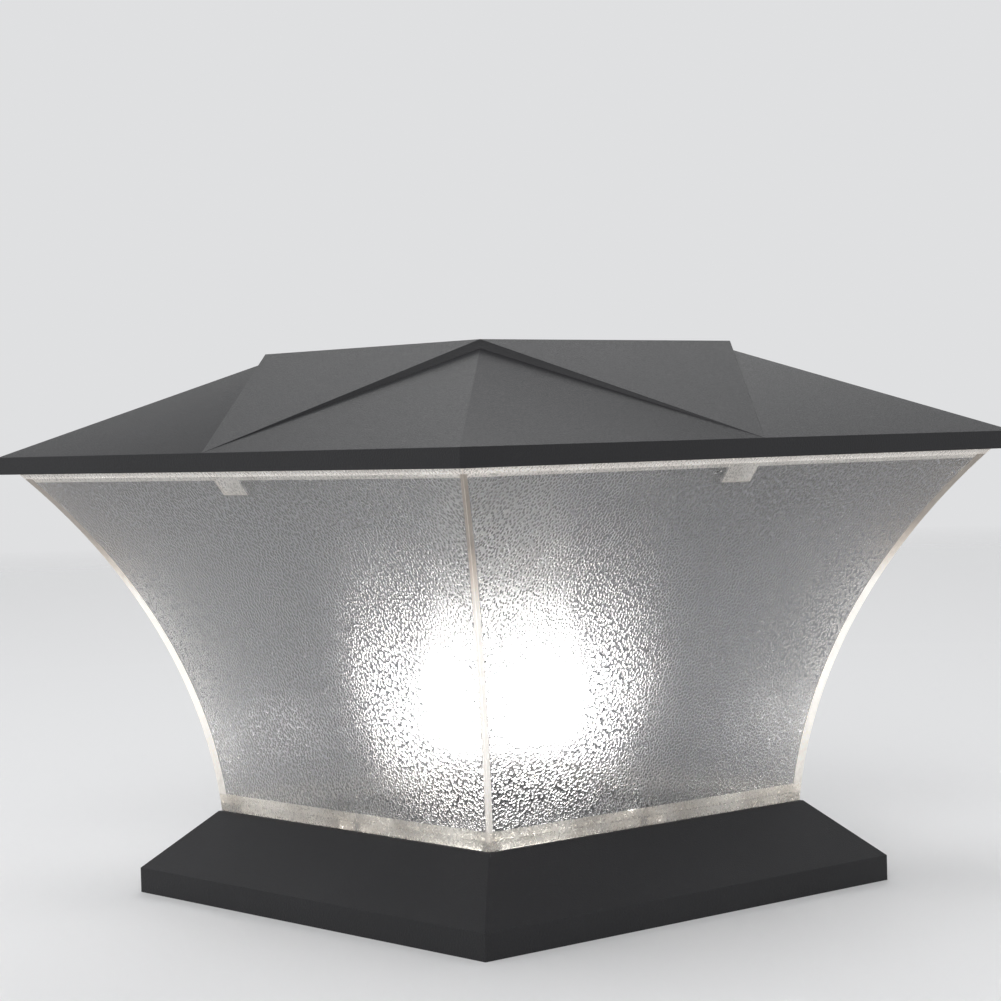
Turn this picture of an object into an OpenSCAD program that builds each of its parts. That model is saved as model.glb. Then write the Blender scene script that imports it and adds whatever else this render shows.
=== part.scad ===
// Solar light for the top of a square post: base, flared clear lens, and a roof that holds the electronics.
// Millimetres, +Z up, sides parallel to X and Y, origin at the middle of the base's underside.

/* [Posts] */
// Side of the large post that the base slips over
big_post = 139.7; // [137:0.1:143]
// Side of the middle post, which seats higher in the skirt
mid_post = 127; // [121:0.1:131]
// Side of the small post, which seats under the deck
small_post = 88.9; // [80:0.1:96]
// Gap between the large post and the base's band
post_gap = 2.75; // [2.2:0.05:4]
// Gap between each post and the ribs round it
seat_gap = 0.6; // [0.3:0.1:1]
// Distance between neighbouring post screws
post_screw_spacing = 56; // [44:1:66]
// Diameter of a post screw hole
post_screw_hole_d = 4.8; // [4:0.1:6]

/* [Base] */
// Wall of the band and the sloping skirt
base_wall = 2.4; // [1.8:0.1:3]
// Height of the upright band at the bottom
base_band_h = 7; // [5:0.1:10]
// Height of the sloping skirt above the band
base_skirt_h = 15.9; // [14:0.1:20]
// Ledge left on the skirt round the lens foot
base_reveal = 0.6; // [0.2:0.1:2]
// Thickness of the deck that the lens stands on
deck_t = 2.4; // [2:0.1:3.4]
// Thickness of a rib under the skirt
rib_t = 2.4; // [1.6:0.1:4]
// Distance between the two ribs of one side
rib_spacing = 60; // [50:1:76]
// Diameter of the collar round a post screw hole
collar_d = 11; // [9:0.1:14]
// Height of the collar above the deck
collar_h = 1.6; // [0.8:0.1:3]

/* [Lens] */
// Outer side of the lens at its foot
lens_foot_side = 116.2; // [110:0.1:124]
// Outer side of the lens at its top
lens_top_side = 194.8; // [180:0.1:215]
// Height of the lens
lens_h = 97.5; // [88:0.1:120]
// Radius of the inward curve of each side
lens_curve_r = 173.3; // [150:0.1:260]
// Wall of the lens
lens_wall = 2.4; // [1.8:0.1:3.2]
// Width of the flange inside the foot
flange_w = 4; // [3:0.1:6]
// Thickness of the flange inside the foot
flange_t = 2.4; // [1.8:0.1:3.4]
// Width of each screw tab
tab_w = 14; // [10:0.1:20]
// Depth of each screw tab, from the wall
tab_l = 9.6; // [8.8:0.1:12]
// Distance of each lens screw from the wall
lens_screw_inset = 5.2; // [4.8:0.1:5.6]
// Width of each catch pad inside the lens top
pad_w = 10.4; // [8:0.1:16]
// Height of each catch pad
pad_h = 5.2; // [4:0.1:8]
// Thickness of each catch pad
pad_t = 1.2; // [0.8:0.1:2]
// Width of the foam ring under the lens
foot_seal_w = 3.8; // [3:0.1:4.6]
// Thickness of the foam ring under the lens
foot_seal_t = 1; // [0.6:0.1:1.4]

/* [Roof] */
// How far the roof stands out past the lens, each side
roof_overhang = 4.3; // [3.8:0.1:9]
// Height of the upright rim
rim_h = 4.9; // [4.4:0.1:8]
// Wall of the rim
rim_wall = 2.6; // [1.8:0.1:3]
// Wall of the roof's slopes and top
roof_wall = 2.4; // [1.8:0.1:2.8]
// Height of the roof above its rim
roof_rise = 27.3; // [26.4:0.1:36]
// Step down from the raised star to the corner faces, at the panel's corners
corner_drop = 2.4; // [1.2:0.1:3.2]

/* [Solar panel] */
// Side of the square panel
panel_side = 84; // [76:0.1:90]
// Gap round the panel in its recess
panel_gap = 0.3; // [0.2:0.05:0.6]
// Width of the frame left round the recess
panel_frame = 4.2; // [3:0.1:8]
// Thickness of the panel's backing board
panel_back_t = 1.2; // [0.8:0.1:1.6]
// Thickness of the clear cover
panel_cover_t = 1.8; // [1.4:0.1:2.4]
// How far the cover lies below the frame
panel_sink = 0.2; // [0:0.1:0.6]
// Columns of cells
cell_columns = 2; // [1:1:4]
// Rows of cells
cell_rows = 6; // [2:1:12]
// Gap between neighbouring cells
cell_space = 1.2; // [0.6:0.1:2]
// Thickness of a cell
cell_t = 0.25; // [0.15:0.05:0.3]
// Width of a cell's ribbon
ribbon_w = 1.2; // [0.8:0.1:2]
// Thickness of a cell's ribbon
ribbon_t = 0.1; // [0.1:0.05:0.15]
// Bare margin round the cells
panel_margin = 3; // [2:0.1:6]

/* [Tray] */
// Thickness of the tray that closes the roof
tray_t = 2.4; // [2:0.1:3]
// Gap between the tray and the roof's rim
tray_gap = 0.3; // [0.2:0.05:0.5]
// Distance of the tray screws from the tray's edge
tray_screw_inset = 28.8; // [24:0.1:34]
// Width of the foam ring on the lens top
top_seal_w = 3.8; // [3.4:0.1:4.2]
// Thickness of the foam ring on the lens top
top_seal_t = 1.2; // [0.8:0.1:1.5]
// Tray left outside the foam ring
seal_edge = 1.2; // [0.9:0.1:1.3]
// Width of each clip tongue
tongue_w = 8.6; // [6:0.1:12]
// Length of each clip tongue
tongue_l = 5.8; // [4.6:0.1:8]
// Thickness of each clip tongue
tongue_t = 1.6; // [1.2:0.1:2.4]
// Gap between a clip tongue and its pad
tongue_gap = 0.35; // [0.3:0.05:0.8]

/* [Light column] */
// Side of the square column that carries the lamps
column_w = 16; // [14:0.1:17]
// Wall of the column
column_wall = 2; // [1.4:0.1:2.6]
// Diameter of the column's flange
column_flange_d = 47; // [45:0.1:52]
// Thickness of the column's flange
column_flange_t = 4; // [3.4:0.1:5]
// Distance of the two column screws from the centre
column_screw_r = 20.4; // [20:0.1:21]
// Distance from the tray down to the middle lamp
lamp_drop = 62.4; // [52:0.1:72]
// Distance between lamps of one board
lamp_pitch = 8.4; // [6:0.1:9]
// Lamps on each board
lamp_rows = 3; // [1:1:3]
// Width of a lamp
lamp_w = 3.6; // [3:0.1:5]
// Height of a lamp's body above its board
lamp_t = 1.2; // [0.8:0.1:1.6]
// Width of a lamp board
lamp_board_w = 12.4; // [10:0.1:13]
// Thickness of a lamp board
lamp_board_t = 1; // [0.8:0.1:1.6]
// Board beyond the outermost lamps
lamp_board_end = 4.6; // [3:0.1:7]
// Outer diameter of the diffuser tube
diffuser_d = 36; // [34:0.1:37]
// Wall of the diffuser tube
diffuser_wall = 1.5; // [1:0.1:1.8]
// Radius of the diffuser's lower edge
diffuser_edge_r = 5; // [3:0.1:7]
// Height of the ring that holds the diffuser
spigot_h = 4; // [2.4:0.1:6]
// Gap between the diffuser and its ring
spigot_gap = 0.15; // [0.1:0.05:0.3]
// Diameter of the wire hole in the tray
wire_hole_d = 9; // [7:0.1:10]

/* [Battery] */
// Diameter of the cell
battery_d = 18.3; // [16:0.1:18.8]
// Length of the cell
battery_l = 65.2; // [50:0.1:70]
// Gap round the cell in its holder
battery_gap = 0.4; // [0.3:0.05:0.6]
// Wall of the holder
holder_wall = 1.6; // [1.2:0.1:2]
// Gap between the holder and the roof's slope
holder_clear = 1.2; // [0.6:0.1:3]
// Space for the spring at the cell's flat end
spring_space = 5.4; // [4:0.1:8]
// Wire of the spring
spring_wire_d = 0.8; // [0.6:0.05:1]
// Outer diameter of the spring
spring_d = 8.4; // [7:0.1:11]
// Turns of the spring
spring_turns = 3; // [2:1:4]
// Thickness of the contact plates
contact_t = 0.5; // [0.3:0.1:0.8]
// Side of the contact plates
contact_w = 11; // [9:0.1:13]
// Width of the lug on each contact plate
lug_w = 3; // [2:0.1:4]
// Length of the lug outside the holder
lug_l = 2.4; // [1.6:0.1:3]
// Thickness of the battery door
door_t = 1.8; // [1.4:0.1:2.6]
// Thickness of the foam ring round the door
door_seal_t = 0.8; // [0.5:0.1:1.2]
// How far the door's ends reach past the door screws
door_end = 4.4; // [3.8:0.1:6]
// How far the door reaches past the opening, each side
door_lap = 4; // [3:0.1:6]
// Width of the foam ring round the door
door_seal_w = 2; // [1.4:0.1:2.4]
// Gap round the door's plug in the opening
door_gap = 0.35; // [0.3:0.05:0.6]
// Distance of the door screws from the holder's ends
door_screw_gap = 5; // [4.4:0.1:7]
// Diameter of the bosses for the door screws
door_boss_d = 6.4; // [5.6:0.1:7.4]
// Height of the bosses for the door screws
door_boss_h = 6.5; // [5:0.1:9]

/* [Control board] */
// Length of the board
board_l = 64; // [58:0.1:72]
// Width of the board
board_w = 26; // [24:0.1:28]
// Thickness of the board
board_t = 1.6; // [1:0.1:2]
// Height of the board above the tray
standoff_h = 4.2; // [3.6:0.1:5]
// Diameter of the standoffs
standoff_d = 6.4; // [5.6:0.1:8]
// Distance of the board screws from the board's ends
board_screw_inset = 4.4; // [4:0.1:6]
// Length of the switch body
switch_l = 12.4; // [11.6:0.1:16]
// Width of the switch body
switch_w = 6; // [5.6:0.1:8]
// Travel of the switch knob
switch_travel = 3; // [2:0.1:3.6]
// Length of the knob along its travel
knob_l = 3; // [2.4:0.1:3.6]
// Width of the knob
knob_w = 2.4; // [1.8:0.1:3]
// How far the knob's block stands out past it, each end
knob_lip = 1; // [0.6:0.1:1.4]
// How far the knob stands out under the tray
knob_proud = 2.2; // [1.4:0.1:3]
// Gap round the knob and its block
knob_gap = 0.3; // [0.2:0.05:0.4]
// Gap between the switch and the standoff beside it
switch_gap = 0.7; // [0.3:0.1:3]
// Diameter of the storage capacitor
capacitor_d = 8; // [6:0.1:9]
// Height of the storage capacitor
capacitor_h = 10.5; // [7:0.1:11]
// Diameter of the coil
coil_d = 8; // [6:0.1:10]
// Height of the coil
coil_h = 5; // [4:0.1:7]
// Length of the wire block
header_l = 22; // [20:0.1:26]
// Width of the wire block
header_w = 5; // [4:0.1:6]
// Board left beside the wire block
header_edge = 1; // [0.4:0.1:2]
// Height of the wire block
header_h = 6; // [4.5:0.1:7]
// Diameter of a wire over its insulation
wire_d = 1.4; // [1:0.1:1.6]
// How far a wire goes straight before its first bend
wire_lift = 2; // [1.6:0.1:2.4]

/* [Screws] */
// Diameter of the bosses for the lens and tray screws
boss_d = 8; // [6.4:0.1:10]
// Diameter of the screws' shanks
screw_d = 2.9; // [2.5:0.05:3.1]
// Diameter of the screws' heads
screw_head_d = 5.4; // [5:0.1:5.8]
// Height of the screws' heads
screw_head_h = 1.9; // [1.5:0.1:2.4]
// Gap round a screw where it passes through
screw_clear = 0.25; // [0.15:0.05:0.35]
// Gap round a screw in its boss
screw_fit = 0.05; // [0.03:0.01:0.08]
// How far a screw reaches into its boss
screw_bite = 4.4; // [3:0.1:5.4]

/* [Hidden] */
$fn = 64;
// Extra length of a cut past the face that it starts from
cut = 1;
// Segments of the lens's large arcs
arc_fn = 240;
// Sides of a wire or spring, and steps in a turn of the spring
tube_sides = 8;
spring_steps = 14;

// Base, from the posts that it has to take
base_half = big_post / 2 + post_gap + base_wall;
base_in_half = base_half - base_wall;
foot_half = lens_foot_side / 2;
base_top_half = foot_half + base_reveal;
deck_z = base_band_h + base_skirt_h;
deck_under_z = deck_z - deck_t;
skirt_run = (base_half - base_top_half) / base_skirt_h;
skirt_in_half_0 = base_half - base_wall * sqrt(1 + skirt_run * skirt_run);
function skirt_in_half(z) = skirt_in_half_0 - (z - base_band_h) * skirt_run;
function skirt_in_z(half) = base_band_h + (skirt_in_half_0 - half) / skirt_run;
big_seat_z = skirt_in_z(big_post / 2 + seat_gap);
mid_guide_half = mid_post / 2 + seat_gap;
mid_seat_z = skirt_in_z(mid_guide_half);
small_guide_half = small_post / 2 + seat_gap;
base_boss_z = mid_seat_z + seat_gap;

// Lens: one circle through the foot and top edges gives each side's curve
top_half = lens_top_side / 2;
roof_z = deck_z + lens_h;
lens_chord = [top_half - foot_half, lens_h];
lens_chord_l = norm(lens_chord);
lens_arc_back = sqrt(lens_curve_r * lens_curve_r - lens_chord_l * lens_chord_l / 4);
lens_arc_x = (foot_half + top_half) / 2 + lens_arc_back * lens_chord[1] / lens_chord_l;
lens_arc_z = (deck_z + roof_z) / 2 - lens_arc_back * lens_chord[0] / lens_chord_l;
function lens_half(z, depth) = lens_arc_x - sqrt(pow(lens_curve_r + depth, 2) - pow(z - lens_arc_z, 2));
foot_in_half = lens_half(deck_z, lens_wall);
flange_in_half = foot_in_half - flange_w;
tab_in_half = foot_in_half - tab_l;
lens_screw_half = foot_in_half - lens_screw_inset;
foot_seal_out = foot_half - base_reveal;
foot_seal_in = foot_seal_out - foot_seal_w;
pad_z = roof_z - pad_h;

// Roof
roof_half = top_half + roof_overhang;
rim_top_z = roof_z + rim_h;
roof_top_z = rim_top_z + roof_rise;
ridge_top_z = roof_top_z - corner_drop;
panel_half = panel_side / 2;
recess_half = panel_half + panel_gap;
plate_half = recess_half + panel_frame;
recess_z = roof_top_z - panel_sink - panel_cover_t - panel_back_t;
ceiling_z = recess_z - roof_wall;
rim_in_half = roof_half - rim_wall;
roof_run = (roof_half - plate_half) / (ridge_top_z - rim_top_z);
roof_in_half_0 = roof_half - roof_wall * sqrt(1 + roof_run * roof_run);
function roof_in_half(z) = roof_in_half_0 - (z - rim_top_z) * roof_run;
shoulder_z = rim_top_z + (roof_in_half_0 - rim_in_half) / roof_run;

// Tray
tray_half = rim_in_half - tray_gap;
tray_top_z = roof_z + tray_t;
tray_screw_half = tray_half - tray_screw_inset;
top_seal_out = tray_half - seal_edge;
top_seal_in = top_seal_out - top_seal_w;
tongue_half = lens_half(pad_z, lens_wall + pad_t) - tongue_gap;

// Light column
lamp_mid_z = roof_z - lamp_drop;
lamp_board_h = (lamp_rows - 1) * lamp_pitch + lamp_w + 2 * lamp_board_end;
column_low_z = lamp_mid_z - lamp_board_h / 2 - seat_gap;
column_flange_z = roof_z - column_flange_t;
diffuser_in_r = diffuser_d / 2 - diffuser_wall;
diffuser_floor_z = column_low_z - seat_gap;
spigot_r = diffuser_in_r - spigot_gap;
window_w = lamp_board_w / 2;
window_h = lamp_pitch;

// Battery, lying along X as near to the roof's edge as the slope lets it
holder_in_w = battery_d + 2 * battery_gap;
holder_in_l = battery_l + spring_space + 2 * contact_t;
holder_half_l = holder_in_l / 2 + holder_wall;
battery_low_z = tray_top_z + 2 * battery_gap;
battery_z = battery_low_z + battery_d / 2;
holder_in_z = battery_low_z + battery_d + battery_gap;
holder_top_z = holder_in_z + holder_wall;
battery_y = -(roof_in_half(holder_top_z) - holder_clear - holder_wall - holder_in_w / 2);
battery_x = spring_space / 2;
lug_z = battery_z + battery_d / 4;
door_screw_x = holder_half_l + door_screw_gap;
door_half_l = door_screw_x + door_end;
door_half_w = holder_in_w / 2 + door_lap;
door_top_z = roof_z - door_seal_t;

// Control board, on the other side
board_y = -battery_y;
board_z = tray_top_z + standoff_h;
board_top_z = board_z + board_t;
board_screw_x = board_l / 2 - board_screw_inset;
header_y = board_y - board_w / 2 + header_w / 2 + header_edge;
header_top_z = board_top_z + header_h;
parts_y = board_y + board_w / 5;
header_pins = 6;
pin_pitch = header_l / (header_pins + 1);
switch_block_l = knob_l + 2 * knob_lip;
switch_block_t = standoff_h / 3;
switch_block_z = tray_top_z + switch_block_t;
switch_end_x = board_screw_x - standoff_d / 2 - switch_gap;
knob_x = switch_end_x - (switch_l + switch_travel) / 2;

column_colour = [0.93, 0.93, 0.9];
black_plastic = [0.07, 0.07, 0.075];
steel = [0.72, 0.72, 0.72];
foam = [0.16, 0.16, 0.16];
board_green = [0.05, 0.3, 0.16];

// A square solid whose side goes straight from one size to another
module frustum(low_half, high_half, low_z, high_z) {
    outline = [[-low_half, low_z], [low_half, low_z], [high_half, high_z], [-high_half, high_z]];
    width = 2 * max(low_half, high_half) + 2 * cut;
    intersection() {
        rotate([90, 0, 0]) linear_extrude(height = width, center = true) polygon(outline);
        rotate([90, 0, 90]) linear_extrude(height = width, center = true) polygon(outline);
    }
}

// A flat square ring
module square_ring(out_half, in_half, low_z, thickness) {
    translate([0, 0, low_z]) linear_extrude(height = thickness) difference() {
        square(2 * out_half, center = true);
        square(2 * in_half, center = true);
    }
}

// Places its child on each of the four sides, turned to face it
module four_sides() {
    for (side = [0:3]) rotate(90 * side) children();
}

// A tapping screw, head up, its head seated at the origin
module screw(length) {
    dome_r = screw_head_d * 0.8;
    slot_w = screw_head_d / 7;
    slot_l = screw_head_d * 0.6;
    slot_depth = screw_head_h * 0.55;
    tip_h = screw_d / 2;
    difference() {
        intersection() {
            cylinder(d = screw_head_d, h = screw_head_h);
            translate([0, 0, screw_head_h - dome_r]) sphere(r = dome_r);
        }
        for (turn = [0, 90]) rotate(turn)
            translate([-slot_l / 2, -slot_w / 2, screw_head_h - slot_depth])
                cube([slot_l, slot_w, slot_depth + cut]);
    }
    translate([0, 0, tip_h - length]) cylinder(d = screw_d, h = length - tip_h);
    translate([0, 0, -length]) cylinder(d1 = screw_d / 3, d2 = screw_d, h = tip_h);
}

// The hole for a screw that passes through a wall
module screw_hole(low_z, high_z) {
    translate([0, 0, low_z - cut])
        cylinder(r = screw_d / 2 + screw_clear, h = high_z - low_z + 2 * cut);
}

// The hole that a screw cuts its thread in
module pilot_hole(from_z, depth) {
    translate([0, 0, from_z]) cylinder(r = screw_d / 2 + screw_fit, h = depth);
}

module base_outside() {
    frustum(base_half, base_half, 0, base_band_h);
    frustum(base_half, base_top_half, base_band_h, deck_z);
}

module base_inside() {
    bend_z = skirt_in_z(base_in_half);
    frustum(base_in_half, base_in_half, -cut, bend_z);
    frustum(base_in_half, skirt_in_half(deck_under_z), bend_z, deck_under_z);
}

// One stepped rib: its steps are the seats of the large and middle posts
module base_rib() {
    rotate([90, 0, 0]) linear_extrude(height = rib_t, center = true) polygon([
        [small_guide_half, deck_z], [small_guide_half, mid_seat_z],
        [mid_guide_half, mid_seat_z], [mid_guide_half, big_seat_z],
        [base_half, big_seat_z], [base_half, deck_z]
    ]);
}

module base_bosses() {
    four_sides() {
        for (s = [-1, 1]) translate([0, s * rib_spacing / 2, 0]) base_rib();
        translate([lens_screw_half, 0, base_boss_z])
            cylinder(d = boss_d, h = deck_z - base_boss_z);
    }
}

module base_shell() {
    color(black_plastic) difference() {
        union() {
            difference() {
                base_outside();
                difference() {
                    base_inside();
                    base_bosses();
                }
            }
            for (x = [-1, 1], y = [-1, 1])
                translate([x * post_screw_spacing / 2, y * post_screw_spacing / 2, deck_z - cut])
                    cylinder(d = collar_d, h = collar_h + cut);
        }
        for (x = [-1, 1], y = [-1, 1])
            translate([x * post_screw_spacing / 2, y * post_screw_spacing / 2, deck_under_z - cut])
                cylinder(d = post_screw_hole_d, h = deck_t + collar_h + 2 * cut);
        square_ring(foot_seal_out, foot_seal_in, deck_z - foot_seal_t, foot_seal_t + cut);
        four_sides() translate([lens_screw_half, 0, 0])
            pilot_hole(base_boss_z - cut, deck_z - base_boss_z + 2 * cut);
    }
}

module foot_seal() {
    color(foam)
        square_ring(foot_seal_out - screw_clear, foot_seal_in + screw_clear, deck_z - foot_seal_t, foot_seal_t);
}

// The lens's outline in one direction, its sides moved inwards by depth
module flare_outline(depth, low_z, high_z) {
    difference() {
        translate([-roof_half, low_z]) square([2 * roof_half, high_z - low_z]);
        for (s = [-1, 1]) translate([s * lens_arc_x, lens_arc_z])
            circle(r = lens_curve_r + depth, $fn = arc_fn);
    }
}

module flare(depth, low_z, high_z) {
    intersection() {
        rotate([90, 0, 0]) linear_extrude(height = 2 * roof_half, center = true)
            flare_outline(depth, low_z, high_z);
        rotate([90, 0, 90]) linear_extrude(height = 2 * roof_half, center = true)
            flare_outline(depth, low_z, high_z);
    }
}

// One pad on the wall inside the lens top; it follows the wall's curve
module catch_pad() {
    pad_half = lens_half(pad_z, lens_wall + pad_t);
    difference() {
        translate([pad_half, -pad_w / 2, pad_z]) cube([top_half, pad_w, pad_h]);
        rotate([90, 0, 0]) linear_extrude(height = 4 * pad_w, center = true)
            flare_outline(lens_wall + pad_t, pad_z - cut, roof_z + cut);
    }
}

module lens() {
    flange_z = deck_z + flange_t;
    color([0.9, 0.93, 0.95, 0.4]) difference() {
        flare(0, deck_z, roof_z);
        difference() {
            flare(lens_wall, flange_z, roof_z + cut);
            four_sides() catch_pad();
        }
        translate([0, 0, deck_z - cut]) linear_extrude(height = flange_t + 2 * cut) difference() {
            square(2 * flange_in_half, center = true);
            four_sides() translate([tab_in_half, -tab_w / 2]) square([tab_l, tab_w]);
        }
        four_sides() translate([lens_screw_half, 0, 0]) screw_hole(deck_z, flange_z);
    }
}

module lens_screws() {
    color(steel) four_sides() translate([lens_screw_half, 0, deck_z + flange_t])
        screw(flange_t + screw_bite);
}

module roof_outside() {
    m = roof_half;
    p = plate_half;
    frustum(roof_half, roof_half, roof_z, rim_top_z);
    frustum(roof_half, plate_half, rim_top_z, ridge_top_z);
    intersection() {
        frustum(roof_half, plate_half, rim_top_z, roof_top_z);
        translate([0, 0, rim_top_z - cut]) linear_extrude(height = roof_rise + 2 * cut)
            polygon([[m, 0], [p, p], [0, m], [-p, p], [-m, 0], [-p, -p], [0, -m], [p, -p]]);
    }
}

module roof_inside() {
    frustum(rim_in_half, rim_in_half, roof_z - cut, shoulder_z);
    frustum(rim_in_half, roof_in_half(ceiling_z), shoulder_z, ceiling_z);
}

module roof_shell() {
    color(black_plastic) difference() {
        roof_outside();
        difference() {
            roof_inside();
            for (x = [-1, 1], y = [-1, 1])
                translate([x * tray_screw_half, y * tray_screw_half, tray_top_z])
                    cylinder(d = boss_d, h = roof_rise);
        }
        translate([-recess_half, -recess_half, recess_z])
            cube([2 * recess_half, 2 * recess_half, roof_top_z - recess_z + cut]);
        translate([0, header_y, ceiling_z - cut])
            cylinder(r = pin_pitch / 2 + wire_d, h = roof_wall + 2 * cut);
        for (x = [-1, 1], y = [-1, 1]) translate([x * tray_screw_half, y * tray_screw_half, 0])
            pilot_hole(tray_top_z - cut, screw_bite + 2 * cut);
    }
}

module roof_tray() {
    switch_slot_l = knob_l + switch_travel + 2 * knob_gap;
    color([0.12, 0.12, 0.125]) difference() {
        union() {
            translate([-tray_half, -tray_half, roof_z]) cube([2 * tray_half, 2 * tray_half, tray_t]);
            for (s = [-1, 1]) translate([s * board_screw_x, board_y, tray_top_z - cut])
                cylinder(d = standoff_d, h = standoff_h + cut);
            for (s = [-1, 1]) translate([s * door_screw_x, battery_y, tray_top_z - cut])
                cylinder(d = door_boss_d, h = door_boss_h + cut);
            four_sides() translate([tongue_half - tongue_t, -tongue_w / 2, roof_z - tongue_l])
                cube([tongue_t, tongue_w, tongue_l + cut]);
        }
        square_ring(top_seal_out, top_seal_in, roof_z - cut, top_seal_t + cut);
        translate([0, 0, roof_z - cut]) cylinder(d = wire_hole_d, h = tray_t + 2 * cut);
        translate([-holder_in_l / 2, battery_y - holder_in_w / 2, roof_z - cut])
            cube([holder_in_l, holder_in_w, tray_t + 2 * cut]);
        translate([knob_x - knob_l / 2 - knob_gap, board_y - knob_w / 2 - knob_gap, roof_z - cut])
            cube([switch_slot_l, knob_w + 2 * knob_gap, tray_t + 2 * cut]);
        for (x = [-1, 1], y = [-1, 1]) translate([x * tray_screw_half, y * tray_screw_half, 0])
            screw_hole(roof_z, tray_top_z);
        for (s = [-1, 1]) translate([s * board_screw_x, board_y, 0])
            pilot_hole(board_z - screw_bite, screw_bite + cut);
        for (s = [-1, 1]) translate([s * door_screw_x, battery_y, 0])
            pilot_hole(roof_z - cut, screw_bite + 2 * cut);
        for (s = [-1, 1]) translate([s * column_screw_r, 0, 0]) screw_hole(roof_z, tray_top_z);
    }
}

module top_seal() {
    color(foam) square_ring(top_seal_out - screw_clear, top_seal_in + screw_clear, roof_z, top_seal_t);
}

module tray_screws() {
    color(steel) for (x = [-1, 1], y = [-1, 1])
        translate([x * tray_screw_half, y * tray_screw_half, roof_z])
            mirror([0, 0, 1]) screw(tray_t + screw_bite);
}

module panel_backing() {
    color([0.04, 0.05, 0.09]) translate([-panel_half, -panel_half, recess_z])
        cube([panel_side, panel_side, panel_back_t]);
}

// Sizes of one cell, so that the rows and columns fill the panel inside its margin
cells_side = panel_side - 2 * panel_margin;
cell_l = (cells_side - (cell_columns - 1) * cell_space) / cell_columns;
cell_w = (cells_side - (cell_rows - 1) * cell_space) / cell_rows;
cell_z = recess_z + panel_back_t;
function cell_x(column) = -cells_side / 2 + column * (cell_l + cell_space);
function cell_y(row) = -cells_side / 2 + row * (cell_w + cell_space);

module panel_cells() {
    color([0.03, 0.05, 0.14]) for (column = [0:cell_columns - 1], row = [0:cell_rows - 1])
        translate([cell_x(column), cell_y(row), cell_z]) cube([cell_l, cell_w, cell_t]);
}

module panel_ribbons() {
    color([0.8, 0.8, 0.82]) for (column = [0:cell_columns - 1], share = [0.25, 0.75])
        translate([cell_x(column) + share * cell_l - ribbon_w / 2, -cells_side / 2, cell_z + cell_t])
            cube([ribbon_w, cells_side, ribbon_t]);
}

module panel_cover() {
    color([0.5, 0.6, 0.7, 0.35]) difference() {
        translate([-panel_half, -panel_half, cell_z]) cube([panel_side, panel_side, panel_cover_t]);
        translate([-cells_side / 2 - panel_gap, -cells_side / 2 - panel_gap, cell_z - cut])
            cube([cells_side + 2 * panel_gap, cells_side + 2 * panel_gap, cell_t + ribbon_t + cut]);
    }
}

module battery_holder() {
    color([0.12, 0.12, 0.125]) difference() {
        translate([-holder_half_l, battery_y - holder_in_w / 2 - holder_wall, tray_top_z])
            cube([2 * holder_half_l, holder_in_w + 2 * holder_wall, holder_top_z - tray_top_z]);
        translate([-holder_in_l / 2, battery_y - holder_in_w / 2, tray_top_z - cut])
            cube([holder_in_l, holder_in_w, holder_in_z - tray_top_z + cut]);
        for (s = [-1, 1]) translate([s * (holder_half_l - holder_wall / 2), battery_y, lug_z])
            cube([holder_wall + 2 * cut, lug_w + 2 * screw_fit, contact_t + 2 * screw_fit], center = true);
    }
}

module battery_cell() {
    cap_h = 1.2;
    cap_d = 5.6;
    crimp = 0.6;
    half_l = battery_l / 2;
    color([0.15, 0.35, 0.6]) translate([battery_x, battery_y, battery_z]) rotate([0, 90, 0]) rotate_extrude()
        polygon([
            [0, -half_l], [battery_d / 2 - crimp, -half_l], [battery_d / 2, crimp - half_l],
            [battery_d / 2, half_l - cap_h - crimp], [battery_d / 2 - crimp, half_l - cap_h],
            [cap_d / 2, half_l - cap_h], [cap_d / 2, half_l], [0, half_l]
        ]);
}

// One contact plate with the lug that goes out through the holder's end wall
module contact_plate(s) {
    x = s * holder_in_l / 2;
    reach = contact_t + holder_wall + lug_l;
    translate([x - s * contact_t / 2, battery_y, battery_z])
        cube([contact_t, contact_w, contact_w], center = true);
    translate([x - s * contact_t + s * reach / 2, battery_y, lug_z])
        cube([reach, lug_w, contact_t], center = true);
}

module spring_plate() {
    color(steel) contact_plate(-1);
}

module button_plate() {
    color(steel) contact_plate(1);
}

// Unit vector along v
function unit(v) = v / norm(v);

// Direction of the route at point n
function heading(route, n) =
    unit(route[min(n + 1, len(route) - 1)] - route[max(n - 1, 0)]);

// Sideways directions along the route, each turned as little as the bends allow
function sideways(route, last, n) =
    n == len(route) ? [] :
    let (ahead = heading(route, n), side = unit(last - (last * ahead) * ahead))
    concat([side], sideways(route, side, n + 1));

// Corners cut off once, so that a bend becomes a curve; the ends stay where they are
function soften(route) = concat(
    [route[0]],
    [for (n = [0:len(route) - 2], share = [0.25, 0.75]) route[n] + share * (route[n + 1] - route[n])],
    [route[len(route) - 1]]
);

// A round tube swept along a route
module tube(route, diameter, first_side) {
    sides = tube_sides;
    across = sideways(route, first_side, 0);
    rings = len(route);
    points = [
        for (n = [0:rings - 1], k = [0:sides - 1])
        let (a = across[n], b = cross(heading(route, n), a))
        route[n] + diameter / 2 * (cos(360 * k / sides) * a + sin(360 * k / sides) * b)
    ];
    walls = [
        for (n = [0:rings - 2], k = [0:sides - 1])
        let (here = n * sides + k, next = n * sides + (k + 1) % sides)
        for (face = [[here, here + sides, next], [next, here + sides, next + sides]]) face
    ];
    top = (rings - 1) * sides;
    low_end = [for (k = [1:sides - 2]) [0, k, k + 1]];
    high_end = [for (k = [1:sides - 2]) [top, top + k + 1, top + k]];
    polyhedron(points, concat(walls, low_end, high_end));
}

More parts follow.
